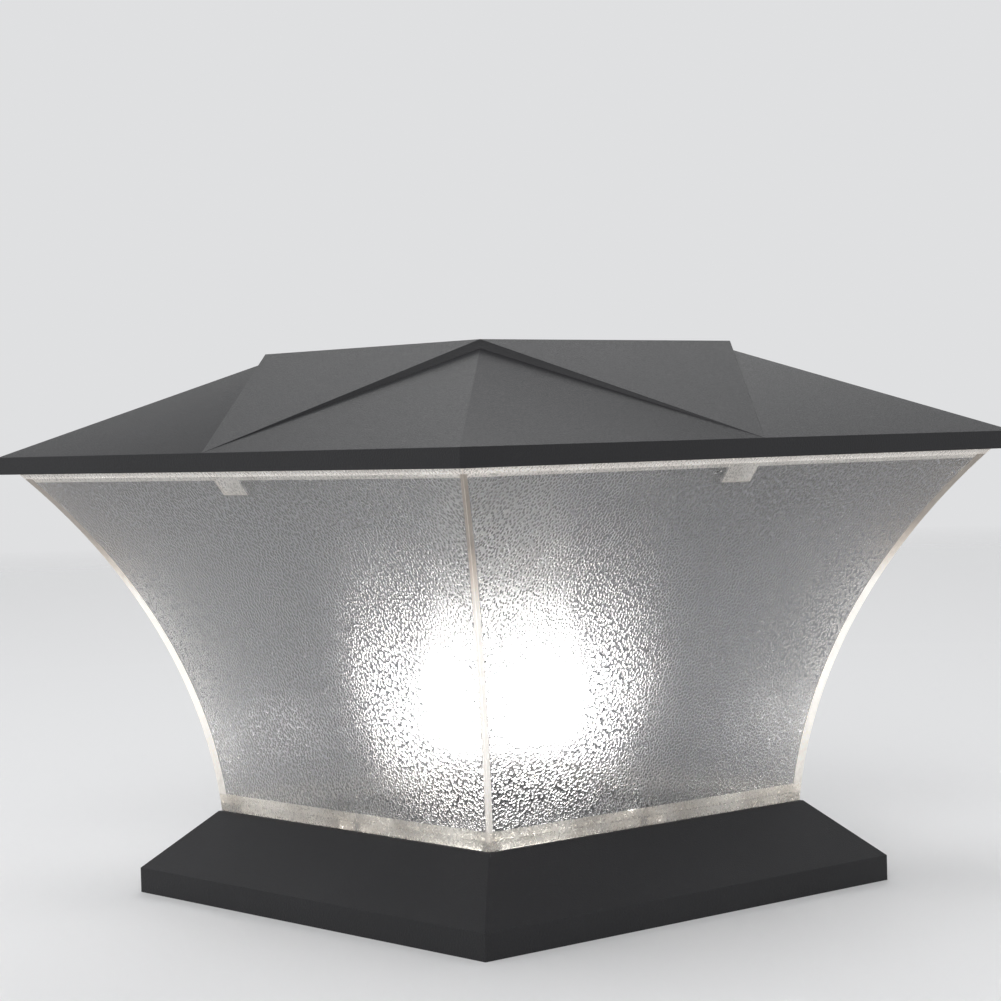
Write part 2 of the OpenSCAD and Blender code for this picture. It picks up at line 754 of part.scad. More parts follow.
// The spring's helix lies along X, between the plate and the cell
module battery_spring() {
    low_x = contact_t - holder_in_l / 2 + spring_wire_d / 2;
    high_x = battery_x - battery_l / 2 - spring_wire_d / 2;
    mean_r = (spring_d - spring_wire_d) / 2;
    steps = spring_turns * spring_steps;
    route = [
        for (n = [0:steps])
        let (turn = 360 * n / spring_steps)
        [low_x + (high_x - low_x) * n / steps, battery_y + mean_r * cos(turn), battery_z + mean_r * sin(turn)]
    ];
    color(steel) tube(route, spring_wire_d, [1, 0, 0]);
}

module battery_door() {
    plug_half_l = holder_in_l / 2 - door_gap;
    plug_half_w = holder_in_w / 2 - door_gap;
    color([0.12, 0.12, 0.125]) difference() {
        union() {
            translate([-door_half_l, battery_y - door_half_w, door_top_z - door_t])
                cube([2 * door_half_l, 2 * door_half_w, door_t]);
            translate([-plug_half_l, battery_y - plug_half_w, door_top_z - cut])
                cube([2 * plug_half_l, 2 * plug_half_w, tray_top_z + battery_gap - door_top_z + cut]);
        }
        for (s = [-1, 1]) translate([s * door_screw_x, battery_y, 0])
            screw_hole(door_top_z - door_t, door_top_z);
        translate([-plug_half_l + holder_wall, battery_y - plug_half_w + holder_wall, door_top_z])
            cube([
                2 * (plug_half_l - holder_wall), 2 * (plug_half_w - holder_wall),
                tray_t + battery_gap + cut
            ]);
    }
}

module door_seal() {
    out_l = holder_in_l / 2 + door_lap;
    color(foam) translate([0, battery_y, door_top_z]) linear_extrude(height = door_seal_t) difference() {
        square([2 * out_l, 2 * door_half_w], center = true);
        square([2 * (out_l - door_seal_w), 2 * (door_half_w - door_seal_w)], center = true);
    }
}

module door_screws() {
    color(steel) for (s = [-1, 1]) translate([s * door_screw_x, battery_y, door_top_z - door_t])
        mirror([0, 0, 1]) screw(door_t + door_seal_t + screw_bite);
}

module control_board() {
    color(board_green) difference() {
        translate([-board_l / 2, board_y - board_w / 2, board_z]) cube([board_l, board_w, board_t]);
        for (s = [-1, 1]) translate([s * board_screw_x, board_y, 0]) screw_hole(board_z, board_top_z);
    }
}

module board_screws() {
    color(steel) for (s = [-1, 1]) translate([s * board_screw_x, board_y, board_top_z])
        screw(board_t + screw_bite - screw_d / 2);
}

module driver_chip() {
    chip_l = 5;
    chip_w = 4;
    chip_t = 1.5;
    leg_w = 0.5;
    leg_l = 1;
    legs = 4;
    leg_pitch = 1.27;
    color([0.1, 0.1, 0.1]) translate([-chip_l, parts_y, board_top_z]) {
        translate([-chip_l / 2, -chip_w / 2, 0]) cube([chip_l, chip_w, chip_t]);
        for (leg = [0:legs - 1], s = [-1, 1])
            translate([(leg - (legs - 1) / 2) * leg_pitch, s * (chip_w + leg_l) / 2, leg_w / 2])
                cube([leg_w, leg_l, leg_w], center = true);
    }
}

module storage_capacitor() {
    r = capacitor_d / 2;
    bevel = 0.6;
    groove_z = capacitor_h * 0.12;
    color([0.1, 0.12, 0.2]) translate([board_l / 4, parts_y, board_top_z]) rotate_extrude()
        polygon([
            [0, 0], [r - bevel, 0], [r, bevel], [r, groove_z + bevel],
            [r - bevel / 2, groove_z + 2 * bevel], [r, groove_z + 3 * bevel],
            [r, capacitor_h - bevel], [r - bevel, capacitor_h], [0, capacitor_h]
        ]);
}

module boost_coil() {
    waist = coil_d * 0.36;
    rim = coil_h * 0.2;
    color([0.35, 0.2, 0.12]) translate([-board_l / 4, parts_y, board_top_z]) rotate_extrude()
        polygon([
            [0, 0], [coil_d / 2, 0], [coil_d / 2, rim], [waist, rim + rim / 2],
            [waist, coil_h - rim - rim / 2], [coil_d / 2, coil_h - rim], [coil_d / 2, coil_h], [0, coil_h]
        ]);
}

// The wires end in the block's top, half a pitch, one and a half, and two and a half from its middle
module wire_block() {
    color([0.9, 0.88, 0.8]) translate([-header_l / 2, header_y - header_w / 2, board_top_z])
        cube([header_l, header_w, header_h]);
}

module switch_body() {
    block_half_l = switch_block_l / 2 + knob_gap;
    slot_half_l = knob_l / 2 + knob_gap;
    slot_half_w = knob_w / 2 + knob_gap;
    block_half_w = slot_half_w + knob_gap;
    color([0.2, 0.2, 0.21]) difference() {
        translate([switch_end_x - switch_l, board_y - switch_w / 2, tray_top_z])
            cube([switch_l, switch_w, standoff_h]);
        translate([knob_x - slot_half_l, board_y - slot_half_w, tray_top_z - cut])
            cube([2 * slot_half_l + switch_travel, 2 * slot_half_w, switch_block_t + cut]);
        translate([knob_x - block_half_l, board_y - block_half_w, switch_block_z - knob_gap])
            cube([2 * block_half_l + switch_travel, 2 * block_half_w, switch_block_t + 2 * knob_gap]);
    }
}

module switch_knob() {
    low_z = roof_z - knob_proud;
    color([0.85, 0.85, 0.85]) {
        translate([knob_x - knob_l / 2, board_y - knob_w / 2, low_z])
            cube([knob_l, knob_w, switch_block_z - low_z + switch_block_t]);
        translate([knob_x - switch_block_l / 2, board_y - knob_w / 2 - knob_gap, switch_block_z])
            cube([switch_block_l, knob_w + 2 * knob_gap, switch_block_t]);
    }
}

module light_column() {
    in_w = column_w - 2 * column_wall;
    color(column_colour) difference() {
        union() {
            translate([-column_w / 2, -column_w / 2, column_low_z])
                cube([column_w, column_w, roof_z - column_low_z]);
            translate([0, 0, column_flange_z]) cylinder(d = column_flange_d, h = column_flange_t);
            translate([0, 0, column_flange_z - spigot_h]) difference() {
                cylinder(r = spigot_r, h = spigot_h + cut);
                translate([0, 0, -cut]) cylinder(r = spigot_r - column_wall, h = spigot_h + cut);
            }
        }
        translate([-in_w / 2, -in_w / 2, column_low_z - cut])
            cube([in_w, in_w, roof_z - column_low_z + 2 * cut]);
        translate([-window_w / 2, 0, lamp_mid_z - window_h / 2]) cube([window_w, column_w, window_h]);
        for (s = [-1, 1]) translate([s * column_screw_r, 0, 0])
            pilot_hole(column_flange_z + screw_d / 3, column_flange_t);
    }
}

module column_screws() {
    color(steel) for (s = [-1, 1]) translate([s * column_screw_r, 0, tray_top_z])
        screw(tray_t + column_flange_t - screw_d / 2);
}

module diffuser_tube() {
    r = diffuser_d / 2;
    out_low_z = diffuser_floor_z - diffuser_wall;
    color([0.95, 0.95, 0.92, 0.6]) rotate_extrude() difference() {
        union() {
            translate([0, out_low_z + diffuser_edge_r])
                square([r, column_flange_z - out_low_z - diffuser_edge_r]);
            translate([0, out_low_z]) square([r - diffuser_edge_r, diffuser_edge_r + cut]);
            intersection() {
                translate([r - diffuser_edge_r, out_low_z + diffuser_edge_r]) circle(r = diffuser_edge_r);
                square([r, roof_z]);
            }
        }
        translate([0, diffuser_floor_z + diffuser_edge_r]) square([diffuser_in_r, roof_z]);
        translate([0, diffuser_floor_z]) square([r - diffuser_edge_r, diffuser_edge_r + cut]);
        intersection() {
            translate([r - diffuser_edge_r, out_low_z + diffuser_edge_r])
                circle(r = diffuser_edge_r - diffuser_wall);
            square([r, roof_z]);
        }
    }
}

// A board on one face of the column
module lamp_board(side) {
    color([0.92, 0.92, 0.9]) rotate(90 * side)
        translate([column_w / 2, -lamp_board_w / 2, lamp_mid_z - lamp_board_h / 2])
            cube([lamp_board_t, lamp_board_w, lamp_board_h]);
}

// The lamps of one board, each with a low dome
module lamps(side) {
    dome_r = lamp_w * 0.6;
    color([1, 0.96, 0.75]) rotate(90 * side) for (row = [0:lamp_rows - 1])
        translate([column_w / 2 + lamp_board_t, 0, lamp_mid_z + (row - (lamp_rows - 1) / 2) * lamp_pitch])
            rotate([0, 90, 0]) {
                translate([-lamp_w / 2, -lamp_w / 2, 0]) cube([lamp_w, lamp_w, lamp_t]);
                intersection() {
                    translate([0, 0, lamp_t - dome_r / 2]) sphere(r = dome_r);
                    cylinder(r = dome_r, h = lamp_t + dome_r);
                }
            }
}

// A wire laid through points, with its bends rounded
module wire(points) {
    tube(soften(soften(points)), wire_d, [1, 0, 0]);
}

module panel_wires() {
    spread = 1.5;
    sag = 2.5;
    color([0.7, 0.1, 0.1]) for (s = [-0.5, 0.5]) {
        x = s * pin_pitch;
        wire([
            [x, header_y, recess_z],
            [x, header_y, ceiling_z - wire_lift],
            [spread * x, header_y - sag, ceiling_z - 2 * wire_lift],
            [spread * x, header_y - sag, header_top_z + 2 * wire_lift],
            [x, header_y, header_top_z + wire_lift],
            [x, header_y, header_top_z]
        ]);
    }
}

module battery_wires() {
    lug_x = holder_half_l + lug_l - wire_d / 2;
    spread = 1.4;
    approach = 6;
    color([0.6, 0.08, 0.08]) for (s = [-1, 1]) {
        x = s * 2.5 * pin_pitch;
        wire([
            [s * lug_x, battery_y, lug_z + contact_t / 2],
            [s * lug_x, battery_y, lug_z + wire_lift],
            [s * lug_x, battery_y / 2, lug_z + wire_lift],
            [s * lug_x * 0.8, board_y / 6, header_top_z + wire_lift / 2],
            [spread * x, header_y - approach, header_top_z + 1.5 * wire_lift],
            [x, header_y, header_top_z + wire_lift],
            [x, header_y, header_top_z]
        ]);
    }
}

module lamp_wires() {
    approach = 8;
    color([0.12, 0.12, 0.12]) for (s = [-1, 1]) {
        x = s * 1.5 * pin_pitch;
        in_x = s * wire_d;
        wire([
            [x, header_y, header_top_z],
            [x, header_y, header_top_z + wire_lift],
            [x, header_y - approach, header_top_z + wire_lift],
            [2 * in_x, column_w / 3, board_top_z + wire_lift],
            [in_x, wire_d, board_top_z - wire_lift],
            [in_x, 0, column_flange_z],
            [in_x, 0, lamp_mid_z + 2 * wire_lift],
            [in_x, wire_d, lamp_mid_z],
            [in_x, column_w / 2, lamp_mid_z]
        ]);
    }
}

base_shell();
lens();
foot_seal();
lens_screws();
roof_shell();
roof_tray();
top_seal();
tray_screws();
panel_backing();
panel_cells();
panel_ribbons();
panel_cover();
battery_holder();
battery_cell();
battery_spring();
spring_plate();
button_plate();
battery_door();
door_seal();
door_screws();
control_board();
driver_chip();
storage_capacitor();
boost_coil();
wire_block();
board_screws();
switch_body();
switch_knob();
light_column();
column_screws();
diffuser_tube();
lamp_board(0);  // lamp_board_east
lamp_board(1);  // lamp_board_north
lamp_board(2);  // lamp_board_west
lamp_board(3);  // lamp_board_south
lamps(0);  // lamps_east
lamps(1);  // lamps_north
lamps(2);  // lamps_west
lamps(3);  // lamps_south
panel_wires();
battery_wires();
lamp_wires();
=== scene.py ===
# Solar light for a square post: clear pebbled lens, black base and roof, and the parts inside it.
import math

import bmesh
import bpy
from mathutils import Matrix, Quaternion, Vector


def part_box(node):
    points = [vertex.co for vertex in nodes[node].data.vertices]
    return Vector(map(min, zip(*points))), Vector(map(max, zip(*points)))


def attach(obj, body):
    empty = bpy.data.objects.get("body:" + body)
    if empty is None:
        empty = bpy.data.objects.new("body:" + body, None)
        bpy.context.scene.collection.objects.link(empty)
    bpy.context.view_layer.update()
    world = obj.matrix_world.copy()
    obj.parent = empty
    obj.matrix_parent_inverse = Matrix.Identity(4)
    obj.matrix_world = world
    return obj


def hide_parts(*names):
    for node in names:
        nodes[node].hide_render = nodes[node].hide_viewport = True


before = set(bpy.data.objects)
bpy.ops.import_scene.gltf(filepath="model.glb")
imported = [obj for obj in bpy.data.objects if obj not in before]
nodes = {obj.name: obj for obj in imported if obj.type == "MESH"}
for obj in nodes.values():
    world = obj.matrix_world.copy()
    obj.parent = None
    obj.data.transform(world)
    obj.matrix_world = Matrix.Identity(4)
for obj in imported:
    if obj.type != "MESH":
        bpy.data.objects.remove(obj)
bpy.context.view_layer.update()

mm = 0.001


view = {
    "place": (0.5457, -0.4811, 0.1272),
    "target": (0, 0, 0.1094),
    "lens": 92.6,
    "roll": 1.56,  # degrees, lifts the right-hand side
}

cameraData = bpy.data.cameras.new("camera")
cameraData.lens = view["lens"]
cameraData.sensor_width = 36
cameraData.clip_start = 0.01
camera = bpy.data.objects.new("camera", cameraData)
bpy.context.scene.collection.objects.link(camera)
camera.location = view["place"]
aim = (Vector(view["target"]) - camera.location).to_track_quat("-Z", "Y")
camera.rotation_mode = "QUATERNION"
camera.rotation_quaternion = aim @ Quaternion((0, 0, 1), -math.radians(view["roll"]))
bpy.context.scene.camera = camera
bpy.context.scene.view_settings.view_transform = "Standard"
print("camera: set")


# small helpers for node materials
def addNode(tree, kind, inputs=None, **settings):
    node = tree.nodes.new("ShaderNode" + kind)
    for name, value in settings.items():
        setattr(node, name, value)
    for socket, value in (inputs or {}).items():
        if isinstance(value, bpy.types.NodeSocket):
            tree.links.new(value, node.inputs[socket])
        else:
            node.inputs[socket].default_value = value
    return node


def startMaterial(name, **fixed):
    material = bpy.data.materials.new(name)
    material.use_nodes = True
    tree = material.node_tree
    shader = tree.nodes["Principled BSDF"]
    labels = {
        "color": "Base Color", "metal": "Metallic", "rough": "Roughness", "ior": "IOR",
        "through": "Transmission Weight", "coat": "Coat Weight", "coatRough": "Coat Roughness",
        "glowColor": "Emission Color", "glow": "Emission Strength", "specular": "Specular IOR Level",
    }
    for key, value in fixed.items():
        shader.inputs[labels[key]].default_value = (*value, 1) if isinstance(value, tuple) else value
    return material, tree, shader


def coordsOf(tree, stretch=None):
    coords = addNode(tree, "TexCoord").outputs["Object"]
    if stretch:
        coords = addNode(tree, "Mapping", {"Vector": coords, "Scale": stretch}).outputs[0]
    return coords


def noiseOf(tree, scale, detail=4, rough=0.55, stretch=None):
    inputs = {"Vector": coordsOf(tree, stretch), "Scale": scale, "Detail": detail, "Roughness": rough}
    return addNode(tree, "TexNoise", inputs).outputs[0]


def cellsOf(tree, scale, feature="F1", smooth=None, output="Distance"):
    inputs = {"Vector": coordsOf(tree), "Scale": scale}
    if smooth is not None:
        inputs["Smoothness"] = smooth
    return addNode(tree, "TexVoronoi", inputs, feature=feature).outputs[output]


def rangeOf(tree, value, fromLow, fromHigh, toLow=0.0, toHigh=1.0):
    inputs = {0: value, 1: fromLow, 2: fromHigh, 3: toLow, 4: toHigh}
    return addNode(tree, "MapRange", inputs).outputs[0]


def mathOf(tree, operation, first, second=0.0):
    return addNode(tree, "Math", {0: first, 1: second}, operation=operation).outputs[0]


def mixOf(tree, share, first, second):
    first = first if isinstance(first, bpy.types.NodeSocket) else (*first, 1)
    second = second if isinstance(second, bpy.types.NodeSocket) else (*second, 1)
    return addNode(tree, "Mix", {0: share, 6: first, 7: second}, data_type="RGBA").outputs[2]


def axesOf(tree):
    return addNode(tree, "SeparateXYZ", {0: coordsOf(tree)}).outputs


def bumpOf(tree, shader, height, depth, strength=1.0, under=None):
    inputs = {"Height": height, "Distance": depth, "Strength": strength}
    if under is not None:
        inputs["Normal"] = under
    normal = addNode(tree, "Bump", inputs).outputs[0]
    tree.links.new(normal, shader.inputs["Normal"])
    return normal


def feed(tree, shader, socket, value):
    tree.links.new(value, shader.inputs[socket])


# finishes
def mouldedPlastic(name, color, rough, grain=0.35 * mm, depth=0.03 * mm, wear=0.12, specular=0.5):
    # textured moulding: fine spark grain, slow tone drift, faint rubbed streaks
    material, tree, shader = startMaterial(name, color=color, rough=rough, specular=specular)
    drift = rangeOf(tree, noiseOf(tree, 22, 3), 0.3, 0.7)
    speck = rangeOf(tree, noiseOf(tree, 1 / grain, 2), 0.35, 0.65)
    rub = rangeOf(tree, noiseOf(tree, 160, 6, 0.7, (1, 1, 6)), 0.6, 0.8)
    dark = tuple(c * 0.82 for c in color)
    pale = tuple(min(1, c * 1.22 + 0.006) for c in color)
    tone = mixOf(tree, drift, dark, color)
    tone = mixOf(tree, mathOf(tree, "MULTIPLY", speck, 0.35), tone, pale)
    tone = mixOf(tree, mathOf(tree, "MULTIPLY", rub, wear), tone, tuple(min(1, c + 0.05) for c in pale))
    feed(tree, shader, "Base Color", tone)
    gloss = mathOf(tree, "ADD", rangeOf(tree, speck, 0, 1, rough - 0.05, rough + 0.07),
                   mathOf(tree, "MULTIPLY", rub, -0.08))
    feed(tree, shader, "Roughness", gloss)
    fine = bumpOf(tree, shader, speck, depth)
    bumpOf(tree, shader, noiseOf(tree, 60, 2), 0.08 * mm, 0.5, fine)  # slight sink of the moulding
    return material


def foam(name, color):
    material, tree, shader = startMaterial(name, color=color, rough=0.95)
    pores = cellsOf(tree, 1 / (0.45 * mm), "SMOOTH_F1", 0.4)
    dark = tuple(c * 0.4 for c in color)
    pale = tuple(c * 1.6 for c in color)
    # painted shade: darker down in the pores, paler on the walls between them
    tone = mixOf(tree, rangeOf(tree, pores, 0.1, 0.7), dark, pale)
    feed(tree, shader, "Base Color", tone)
    bumpOf(tree, shader, pores, 0.2 * mm)
    return material


def metal(name, color, rough, tint=(0.5, 0.47, 0.42), brush=(1, 1, 1)):
    # plated metal: brushed streaks, dull patches and tiny pits
    material, tree, shader = startMaterial(name, color=color, rough=rough, metal=1.0)
    streaks = noiseOf(tree, 2500, 3, 0.6, brush)
    patches = rangeOf(tree, noiseOf(tree, 300, 5, 0.6), 0.45, 0.75)
    pits = rangeOf(tree, cellsOf(tree, 1 / (0.35 * mm)), 0.0, 0.16, 1.0, 0.0)
    tone = mixOf(tree, mathOf(tree, "MULTIPLY", patches, 0.5), color, tint)
    tone = mixOf(tree, mathOf(tree, "MULTIPLY", pits, 0.4), tone, tuple(c * 0.3 for c in tint))
    feed(tree, shader, "Base Color", tone)
    gloss = mathOf(tree, "ADD", rangeOf(tree, streaks, 0.3, 0.7, rough - 0.08, rough + 0.1),
                   mathOf(tree, "MULTIPLY", patches, 0.15))
    feed(tree, shader, "Roughness", gloss)
    bumpOf(tree, shader, mathOf(tree, "SUBTRACT", streaks, pits), 0.02 * mm)
    return material


def sleeve(name, color, rough=0.28):
    # shrink sleeve: glossy film with faint puckers, paler in places along them
    material, tree, shader = startMaterial(name, color=color, rough=rough, coat=0.35, coatRough=0.12)
    pucker = noiseOf(tree, 350, 3, 0.5, (0.25, 1, 1))  # drawn out along the can
    tone = mixOf(tree, rangeOf(tree, noiseOf(tree, 60, 4), 0.35, 0.65), tuple(c * 0.8 for c in color), color)
    pale = tuple(min(1, c * 1.5 + 0.03) for c in color)
    tone = mixOf(tree, rangeOf(tree, pucker, 0.62, 0.8, 0, 0.25), tone, pale)
    feed(tree, shader, "Base Color", tone)
    feed(tree, shader, "Roughness", rangeOf(tree, pucker, 0.3, 0.7, rough - 0.06, rough + 0.1))
    bumpOf(tree, shader, pucker, 0.06 * mm)
    return material


def solderMask(name, color, trace, pitch=1.7 * mm):
    # board: copper paths show as paler lines under the mask, with round pads
    material, tree, shader = startMaterial(name, color=color, rough=0.35, coat=0.2, coatRough=0.2)
    paths = cellsOf(tree, 0.35 / pitch, "DISTANCE_TO_EDGE")
    line = rangeOf(tree, paths, 0.04, 0.07, 1.0, 0.0)
    pads = rangeOf(tree, cellsOf(tree, 0.5 / pitch), 0.13, 0.16, 1.0, 0.0)
    weave = noiseOf(tree, 900, 2, 0.5)
    tone = mixOf(tree, mathOf(tree, "MULTIPLY", weave, 0.3), color, tuple(c * 0.7 for c in color))
    tone = mixOf(tree, mathOf(tree, "MULTIPLY", line, 0.8), tone, trace)
    tone = mixOf(tree, pads, tone, (0.62, 0.6, 0.55))
    feed(tree, shader, "Base Color", tone)
    feed(tree, shader, "Roughness", rangeOf(tree, weave, 0.3, 0.7, 0.28, 0.42))
    bumpOf(tree, shader, mathOf(tree, "MAXIMUM", line, pads), 0.04 * mm)
    return material


def insulation(name, color):
    # extruded wire cover: satin, faint ring marks and dust
    material, tree, shader = startMaterial(name, color=color, rough=0.42)
    dust = rangeOf(tree, noiseOf(tree, 900, 5, 0.65), 0.5, 0.75)
    dusty = tuple(min(1, c * 1.3 + 0.08) for c in color)
    tone = mixOf(tree, mathOf(tree, "MULTIPLY", dust, 0.25), color, dusty)
    feed(tree, shader, "Base Color", tone)
    feed(tree, shader, "Roughness", rangeOf(tree, dust, 0, 1, 0.36, 0.58))
    bumpOf(tree, shader, noiseOf(tree, 1800, 2), 0.02 * mm)
    return material


housingFinish = {"color": (0.016, 0.016, 0.0175), "rough": 0.48, "specular": 0.22, "wear": 0.08}
trayFinish = {"color": (0.025, 0.025, 0.027), "rough": 0.5, "specular": 0.25}

housingBlack = mouldedPlastic("housingBlack", grain=0.4 * mm, **housingFinish)
trayBlack = mouldedPlastic("trayBlack", grain=0.6 * mm, depth=0.02 * mm, **trayFinish)
switchGrey = mouldedPlastic("switchGrey", (0.07, 0.07, 0.075), 0.45, grain=0.5 * mm)
knobWhite = mouldedPlastic("knobWhite", (0.68, 0.68, 0.65), 0.4, grain=0.5 * mm, depth=0.015 * mm)
blockIvory = mouldedPlastic("blockIvory", (0.72, 0.68, 0.56), 0.5, grain=0.6 * mm)
chipBlack = mouldedPlastic("chipBlack", (0.022, 0.022, 0.022), 0.6, grain=0.25 * mm)
foamBlack = foam("foamBlack", (0.03, 0.03, 0.03))
screwSteel = metal("screwSteel", (0.62, 0.62, 0.63), 0.32)
nickelSteel = metal("nickelSteel", (0.7, 0.68, 0.64), 0.25, (0.55, 0.5, 0.42))
tinnedRibbon = metal("tinnedRibbon", (0.75, 0.76, 0.78), 0.3, (0.6, 0.6, 0.6), (1, 0.1, 1))
capacitorSleeve = sleeve("capacitorSleeve", (0.03, 0.045, 0.1))
boardGreen = solderMask("boardGreen", (0.012, 0.1, 0.045), (0.03, 0.2, 0.09))
lampBoardWhite = solderMask("lampBoardWhite", (0.8, 0.8, 0.78), (0.68, 0.68, 0.66), 2.4 * mm)
wireRed = insulation("wireRed", (0.4, 0.025, 0.02))
wireBlack = insulation("wireBlack", (0.02, 0.02, 0.02))
print("materials: plastics, metals and boards")


lensFinish = {
    "pebbled": {"color": (0.305, 0.305, 0.325), "rough": 0.1, "ior": 1.58, "through": 1.0, "specular": 1.0},
    "smooth": {"color": (0.88, 0.88, 0.87), "rough": 0.03, "ior": 1.58, "through": 1.0, "specular": 1.0},
    "relief": 0.19 * mm,  # height of a dome
    "spread": 0.5,  # radius of a dome, in pebbles
    "ring": 0.4,  # middle of the cloudy ring at its foot, in pebbles
    "uneven": 0.95,
    "lay": 31,  # degrees, turns the rows of pebbles
    # each haze's glow is a painted glow: the hazy plastic gives off light of its own
    "hazes": {
        "lensHazyPaintedGlow": {"dark": (0.6, 0.56, 0.51), "pale": (0.9, 0.87, 0.82), "glow": 0.03, "through": 0.78},
        "lensPadPaintedGlow": {"dark": (0.76, 0.72, 0.69), "pale": (0.94, 0.92, 0.89), "glow": 0.15, "through": 0.5},
    },
    # colour of the painted glow of the hazes
    "hazePaintedGlow": (1.0, 0.93, 0.84),
    "seamPaintedGlowWarm": (1.0, 0.8, 0.64),  # painted glow of a corner, warm under the roof
    "seamPaintedGlowWhite": (1.0, 0.98, 0.95),  # and whiter near the lamps
    "seamTurn": (102 * mm, 84 * mm),  # heights between which it changes
    "seamFoot": (25 * mm, 55 * mm),  # heights between which it comes up to full strength
}


def lensMaterials():
    finish = lensFinish
    # pebbled wall: small domes side by side, laid out by the lens's own map
    pebbled, tree, shader = startMaterial("lensPebbled", **finish["pebbled"])
    place = addNode(tree, "Mapping", {"Vector": addNode(tree, "TexCoord").outputs["UV"],
                                      "Rotation": (0, 0, math.radians(finish["lay"]))}).outputs[0]
    away = addNode(tree, "TexVoronoi", {"Vector": place, "Scale": 1.0, "Randomness": finish["uneven"]},
                   voronoi_dimensions="2D").outputs["Distance"]
    reach = mathOf(tree, "MINIMUM", mathOf(tree, "DIVIDE", away, finish["spread"]), 1.0)
    domes = mathOf(tree, "POWER", mathOf(tree, "SUBTRACT", 1.0, mathOf(tree, "POWER", reach, 2.0)), 2.0)
    swell = rangeOf(tree, noiseOf(tree, 180, 2), 0.3, 0.7, 0.8, 1.15)
    bumpOf(tree, shader, mathOf(tree, "MULTIPLY", domes, swell), finish["relief"])
    fromRing = mathOf(tree, "ABSOLUTE", mathOf(tree, "SUBTRACT", away, finish["ring"]))
    feed(tree, shader, "Roughness", rangeOf(tree, fromRing, 0.04, 0.2, 0.5, 0.15))
    # smooth outer faces and flange
    smooth, tree, shader = startMaterial("lensSmooth", **finish["smooth"])
    haze = noiseOf(tree, 120, 4)
    feed(tree, shader, "Roughness", rangeOf(tree, haze, 0.45, 0.75, 0.01, 0.09))
    bumpOf(tree, shader, noiseOf(tree, 40, 2), 0.05 * mm)
    # hazy band at the foot, and the whiter tabs, pads and strip under the roof, each with a painted glow of
    # its own
    hazes = []
    for name, haze in finish["hazes"].items():
        hazy, tree, shader = startMaterial(name, color=haze["pale"], rough=0.3, ior=finish["smooth"]["ior"],
                                           through=haze["through"], glowColor=finish["hazePaintedGlow"],
                                           glow=haze["glow"])
        speck = noiseOf(tree, 1500, 3)
        cloud = rangeOf(tree, noiseOf(tree, 90, 4, 0.5), 0.35, 0.65)
        feed(tree, shader, "Base Color", mixOf(tree, cloud, haze["dark"], haze["pale"]))
        feed(tree, shader, "Roughness", rangeOf(tree, speck, 0.3, 0.7, 0.18, 0.4))
        bumpOf(tree, shader, speck, 0.015 * mm)
        hazes.append(hazy)
    # painted glow: the corner seams give off light of their own, warm under the roof and whiter near the
    # lamps, standing in for light carried along the wall and let out at its corners
    seam, tree, shader = startMaterial("lensCornerPaintedGlow", color=(0.9, 0.85, 0.78), rough=0.6)
    rise = axesOf(tree)[2]
    near = rangeOf(tree, rise, *finish["seamTurn"])
    grain = noiseOf(tree, 700, 4, 0.6)
    feed(tree, shader, "Base Color", mixOf(tree, grain, (0.5, 0.45, 0.4), (0.7, 0.66, 0.6)))
    feed(tree, shader, "Emission Color", mixOf(tree, near, finish["seamPaintedGlowWarm"], finish["seamPaintedGlowWhite"]))
    low = rangeOf(tree, rise, *finish["seamFoot"], 0.45, 1.0)
    paintedGlow = mathOf(tree, "MULTIPLY", rangeOf(tree, near, 0, 1, 0.1, 0.85), low)
    paintedGlow = mathOf(tree, "MULTIPLY", paintedGlow, rangeOf(tree, grain, 0.3, 0.7, 0.8, 1.1))
    feed(tree, shader, "Emission Strength", paintedGlow)
    return pebbled, smooth, *hazes, seam


panelFinish = {
    "crystal": 7 * mm,  # width of a crystal in the cells
    "fingerGap": 1.1 * mm,  # half the distance between printed silver lines
    "fingerHalf": 0.11 * mm,
}


def panelMaterials():
    # cells: crystals of different blues under thin silver lines
    cells, tree, shader = startMaterial("cellBlue", color=(0.012, 0.022, 0.07), rough=0.25,
                                        coat=0.4, coatRough=0.1)
    crystal = cellsOf(tree, 1 / panelFinish["crystal"], output="Color")
    flake = addNode(tree, "SeparateColor", {0: crystal}).outputs[0]
    along = mathOf(tree, "PINGPONG", axesOf(tree)[0], panelFinish["fingerGap"])
    fingers = rangeOf(tree, along, 0.0, panelFinish["fingerHalf"], 1.0, 0.0)
    tone = mixOf(tree, flake, (0.01, 0.016, 0.05), (0.018, 0.036, 0.115))
    tone = mixOf(tree, mathOf(tree, "MULTIPLY", fingers, 0.75), tone, (0.42, 0.43, 0.46))
    feed(tree, shader, "Base Color", tone)
    feed(tree, shader, "Roughness", rangeOf(tree, flake, 0, 1, 0.2, 0.36))
    bumpOf(tree, shader, fingers, 0.03 * mm)

    backing, tree, shader = startMaterial("panelBack", color=(0.015, 0.018, 0.035), rough=0.4)
    weave = noiseOf(tree, 1400, 2, 0.5, (1, 0.2, 1))
    feed(tree, shader, "Base Color", mixOf(tree, weave, (0.01, 0.012, 0.026), (0.022, 0.026, 0.045)))
    bumpOf(tree, shader, weave, 0.02 * mm)

    # cast cover over the cells: clear, slightly rippled, dusty in places
    cover, tree, shader = startMaterial("coverClear", color=(0.92, 0.95, 0.97), rough=0.06,
                                        ior=1.5, through=1.0)
    dust = noiseOf(tree, 500, 5, 0.7)
    feed(tree, shader, "Roughness", rangeOf(tree, dust, 0.45, 0.75, 0.04, 0.16))
    bumpOf(tree, shader, noiseOf(tree, 45, 3), 0.1 * mm, 0.6)
    return cells, backing, cover


batteryFinish = {
    "ringStart": 7.4 * mm,  # where the grey ring starts, from the button's end
    "capStart": 1.5 * mm,  # where the bare metal starts
    "ring": (0.62, 0.63, 0.64),
    "cap": (0.6, 0.59, 0.56),
}


